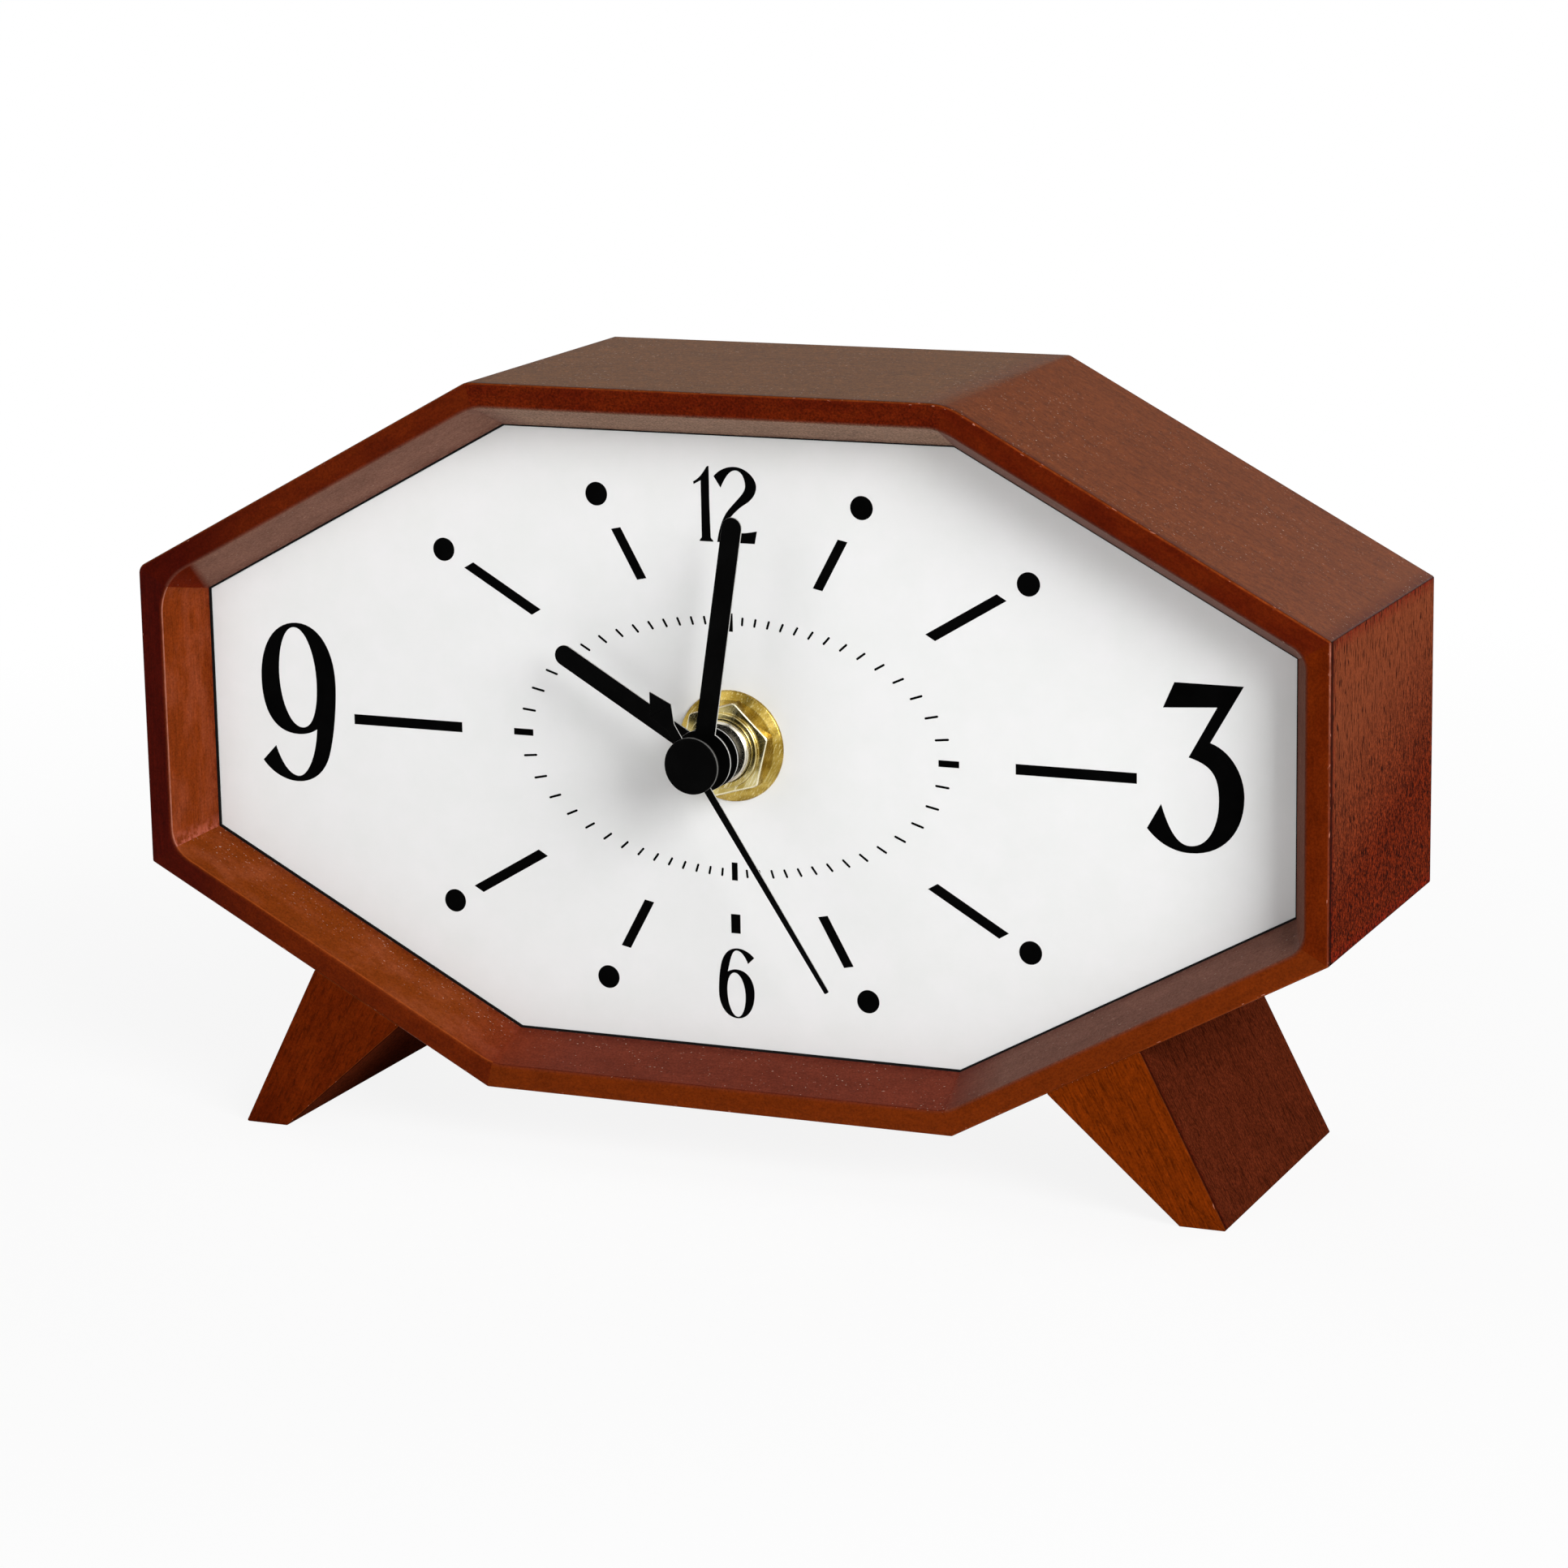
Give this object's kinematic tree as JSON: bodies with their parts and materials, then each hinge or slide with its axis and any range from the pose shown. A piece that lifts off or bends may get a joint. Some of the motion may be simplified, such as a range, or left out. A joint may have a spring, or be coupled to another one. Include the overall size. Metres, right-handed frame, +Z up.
{
  "type": "desk clock",
  "caption": "Free-standing octagonal wooden desk clock with splayed feet, a white dial, three turning hands and a battery quartz movement behind an open back.",
  "frame": {"origin": "middle of the clock's length and depth, on the surface that its feet stand on", "axes": "+X to the right of someone reading the dial, +Y from the dial to the open back, +Z up"},
  "size_m": [0.2, 0.0618, 0.1241],
  "materials": {
    "case_wood": "red-brown stained wood under a satin varnish",
    "foot_wood": "orange-brown stained wood under a satin varnish",
    "block_wood": "raw pale wood",
    "dial": "matt white printed sheet",
    "dial_print": "black printing ink",
    "board": "raw fibreboard",
    "hands": "satin black lacquer",
    "brass": "polished and lightly worn",
    "nickel": "nickel plated",
    "steel": "zinc plated",
    "black_plastic": "fine moulded texture",
    "gear_plastic": "natural moulded plastic",
    "rubber": "matt",
    "copper": "enamelled copper wire",
    "circuit": "green solder mask",
    "battery": "plain printed sleeve"
  },
  "bodies": {
    "case": {"case_top": "case_wood", "case_upper_right": "case_wood", "case_right": "case_wood", "case_lower_right": "case_wood", "case_bottom": "case_wood", "case_lower_left": "case_wood", "case_left": "case_wood", "case_upper_left": "case_wood", "foot_left": "foot_wood", "foot_right": "foot_wood", "foot_screw_left_front": "steel", "foot_screw_left_rear": "steel", "foot_screw_right_front": "steel", "foot_screw_right_rear": "steel", "dial_face": "dial", "dial_board": "board", "board_block_top": "block_wood", "board_block_right": "block_wood", "board_block_bottom": "block_wood", "board_block_left": "block_wood", "brass_washer": "brass", "hex_nut": "brass", "rubber_washer": "rubber", "threaded_bush": "nickel", "movement_case": "black_plastic", "movement_cover": "black_plastic", "middle_plate": "gear_plastic", "circuit_board": "circuit", "quartz_crystal": "nickel", "control_chip": "black_plastic", "stator": "steel", "coil_core": "steel", "coil": "copper", "battery": "battery", "battery_contact_negative": "nickel", "battery_contact_positive": "nickel"},
    "minute": {"minute_hand": "hands", "centre_wheel": "gear_plastic"},
    "hour": {"hour_hand": "hands", "hour_wheel": "gear_plastic"},
    "second": {"second_hand": "hands", "second_hand_cap": "hands", "seconds_wheel": "gear_plastic"},
    "third": {"third_wheel": "gear_plastic"},
    "intermediate": {"intermediate_wheel": "gear_plastic"},
    "rotor": {"rotor_arbor": "gear_plastic", "rotor_magnet": "steel"},
    "motion_wheel": {"minute_wheel": "gear_plastic"},
    "setting": {"setting_pinion": "gear_plastic", "setting_knob": "gear_plastic"}
  },
  "joints": [
    {"name": "minute_hand_turn", "type": "hinge", "parent": "case", "child": "minute", "pos_m": [0, -0.0047, 0.0672], "axis": [0, 1, 0], "continuous": true},
    {"name": "hour_hand_turn", "type": "hinge", "parent": "case", "child": "hour", "pos_m": [0, -0.0047, 0.0672], "axis": [0, 1, 0], "continuous": true},
    {"name": "second_hand_turn", "type": "hinge", "parent": "case", "child": "second", "pos_m": [0, -0.0047, 0.0672], "axis": [0, 1, 0], "continuous": true},
    {"name": "third_wheel_turn", "type": "hinge", "parent": "case", "child": "third", "pos_m": [-0.00873, -0.0047, 0.07224], "axis": [0, 1, 0], "continuous": true},
    {"name": "intermediate_wheel_turn", "type": "hinge", "parent": "case", "child": "intermediate", "pos_m": [0.0036, -0.0047, 0.07344], "axis": [0, 1, 0], "continuous": true},
    {"name": "rotor_turn", "type": "hinge", "parent": "case", "child": "rotor", "pos_m": [0.00668, -0.0047, 0.07877], "axis": [0, 1, 0], "continuous": true},
    {"name": "motion_wheel_turn", "type": "hinge", "parent": "case", "child": "motion_wheel", "pos_m": [0.00846, -0.0047, 0.07028], "axis": [0, 1, 0], "continuous": true},
    {"name": "setting_knob_turn", "type": "hinge", "parent": "case", "child": "setting", "pos_m": [0.01746, -0.0047, 0.07028], "axis": [0, 1, 0], "continuous": true}
  ],
  "couplings": [
    {"joint": "hour_hand_turn", "follows": "minute_hand_turn", "ratio": 0.083333},
    {"joint": "second_hand_turn", "follows": "minute_hand_turn", "ratio": 60},
    {"joint": "third_wheel_turn", "follows": "minute_hand_turn", "ratio": -8},
    {"joint": "intermediate_wheel_turn", "follows": "minute_hand_turn", "ratio": -300},
    {"joint": "rotor_turn", "follows": "minute_hand_turn", "ratio": 1800},
    {"joint": "motion_wheel_turn", "follows": "minute_hand_turn", "ratio": -0.33333},
    {"joint": "setting_knob_turn", "follows": "minute_hand_turn", "ratio": 1}
  ]
}
